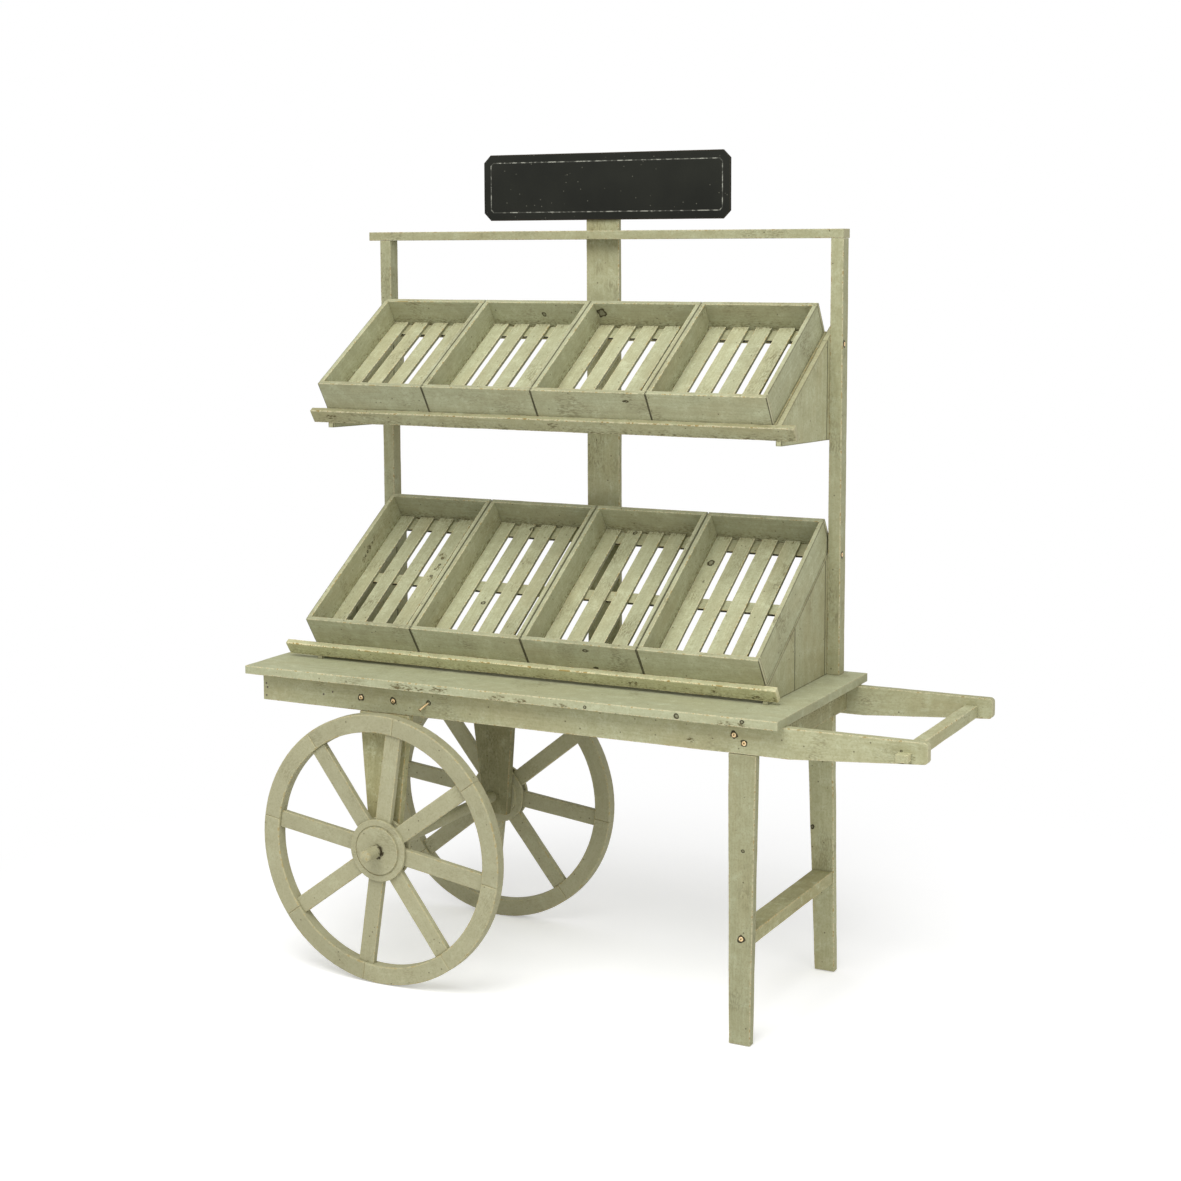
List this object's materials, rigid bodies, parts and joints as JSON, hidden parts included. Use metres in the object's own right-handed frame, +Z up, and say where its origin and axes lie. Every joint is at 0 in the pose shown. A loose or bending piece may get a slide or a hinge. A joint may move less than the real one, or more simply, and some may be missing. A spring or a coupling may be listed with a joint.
{
  "type": "display cart",
  "caption": "Wooden market cart: a deck on rails that run on as handles, spoked wheels, legs, and a stepped rack of slatted lift-off trays under a rail with a small blackboard.",
  "frame": {"origin": "on the ground, under the middle of the cart's overall box", "axes": "+Z up, +X along the deck towards the handles, the front with the tray openings faces -Y"},
  "size_m": [1.44, 0.6066, 1.657],
  "materials": {
    "sage_pine": "sage wash over rough-edged pine, matt",
    "deck_pine": "sage wash, smoother, matt",
    "tray_pine": "sage wash, worn to beige along the edges, matt",
    "batten_pine": "rough, thinly washed pine",
    "under_pine": "sage wash, darker, matt",
    "wheel_wood": "browner wash, worn tread, matt",
    "blackboard": "matt blackboard paint with a broken white line",
    "brass": "dulled brass",
    "nail_iron": "rusty iron"
  },
  "bodies": {
    "frame": {"deck": "deck_pine", "front_rail": "sage_pine", "rear_rail": "sage_pine", "left_apron": "under_pine", "right_apron": "under_pine", "handle_crossbar": "sage_pine", "front_leg": "sage_pine", "rear_leg": "sage_pine", "leg_stretcher": "under_pine", "front_axle_bracket": "under_pine", "rear_axle_bracket": "under_pine", "axle": "wheel_wood", "left_post": "sage_pine", "right_post": "sage_pine", "centre_post": "sage_pine", "top_rail": "sage_pine", "sign_board": "blackboard", "upper_left_cheek": "sage_pine", "upper_right_cheek": "sage_pine", "lower_left_cheek": "sage_pine", "lower_right_cheek": "sage_pine", "upper_lip": "sage_pine", "lower_lip": "sage_pine", "upper_bearers": "under_pine", "lower_bearers": "under_pine", "upper_runner": "under_pine", "screws": "brass", "nails": "nail_iron"},
    "front_wheel": {"front_wheel_felloes": "wheel_wood", "front_wheel_spokes": "wheel_wood", "front_wheel_hub": "wheel_wood"},
    "rear_wheel": {"rear_wheel_felloes": "wheel_wood", "rear_wheel_spokes": "wheel_wood", "rear_wheel_hub": "wheel_wood"},
    "upper_tray_1": {"upper_tray_1_walls": "tray_pine", "upper_tray_1_slats": "tray_pine", "upper_tray_1_battens": "batten_pine"},
    "upper_tray_2": {"upper_tray_2_walls": "tray_pine", "upper_tray_2_slats": "tray_pine", "upper_tray_2_battens": "batten_pine"},
    "upper_tray_3": {"upper_tray_3_walls": "tray_pine", "upper_tray_3_slats": "tray_pine", "upper_tray_3_battens": "batten_pine"},
    "upper_tray_4": {"upper_tray_4_walls": "tray_pine", "upper_tray_4_slats": "tray_pine", "upper_tray_4_battens": "batten_pine"},
    "lower_tray_1": {"lower_tray_1_walls": "tray_pine", "lower_tray_1_slats": "tray_pine", "lower_tray_1_battens": "batten_pine"},
    "lower_tray_2": {"lower_tray_2_walls": "tray_pine", "lower_tray_2_slats": "tray_pine", "lower_tray_2_battens": "batten_pine"},
    "lower_tray_3": {"lower_tray_3_walls": "tray_pine", "lower_tray_3_slats": "tray_pine", "lower_tray_3_battens": "batten_pine"},
    "lower_tray_4": {"lower_tray_4_walls": "tray_pine", "lower_tray_4_slats": "tray_pine", "lower_tray_4_battens": "batten_pine"}
  },
  "joints": [
    {"name": "front_wheel_spin", "type": "hinge", "parent": "frame", "child": "front_wheel", "pos_m": [-0.396, 0, 0.275], "axis": [0, 1, 0], "continuous": true},
    {"name": "rear_wheel_spin", "type": "hinge", "parent": "frame", "child": "rear_wheel", "pos_m": [-0.396, 0, 0.275], "axis": [0, 1, 0], "continuous": true},
    {"name": "upper_tray_1_lift", "type": "slide", "parent": "frame", "child": "upper_tray_1", "axis": [0, -0.5299, 0.848], "range_m": [0, 0.08]},
    {"name": "upper_tray_2_lift", "type": "slide", "parent": "frame", "child": "upper_tray_2", "axis": [0, -0.5299, 0.848], "range_m": [0, 0.08]},
    {"name": "upper_tray_3_lift", "type": "slide", "parent": "frame", "child": "upper_tray_3", "axis": [0, -0.5299, 0.848], "range_m": [0, 0.08]},
    {"name": "upper_tray_4_lift", "type": "slide", "parent": "frame", "child": "upper_tray_4", "axis": [0, -0.5299, 0.848], "range_m": [0, 0.08]},
    {"name": "lower_tray_1_lift", "type": "slide", "parent": "frame", "child": "lower_tray_1", "axis": [0, -0.5519, 0.8339], "range_m": [0, 0.08]},
    {"name": "lower_tray_2_lift", "type": "slide", "parent": "frame", "child": "lower_tray_2", "axis": [0, -0.5519, 0.8339], "range_m": [0, 0.08]},
    {"name": "lower_tray_3_lift", "type": "slide", "parent": "frame", "child": "lower_tray_3", "axis": [0, -0.5519, 0.8339], "range_m": [0, 0.08]},
    {"name": "lower_tray_4_lift", "type": "slide", "parent": "frame", "child": "lower_tray_4", "axis": [0, -0.5519, 0.8339], "range_m": [0, 0.08]}
  ]
}
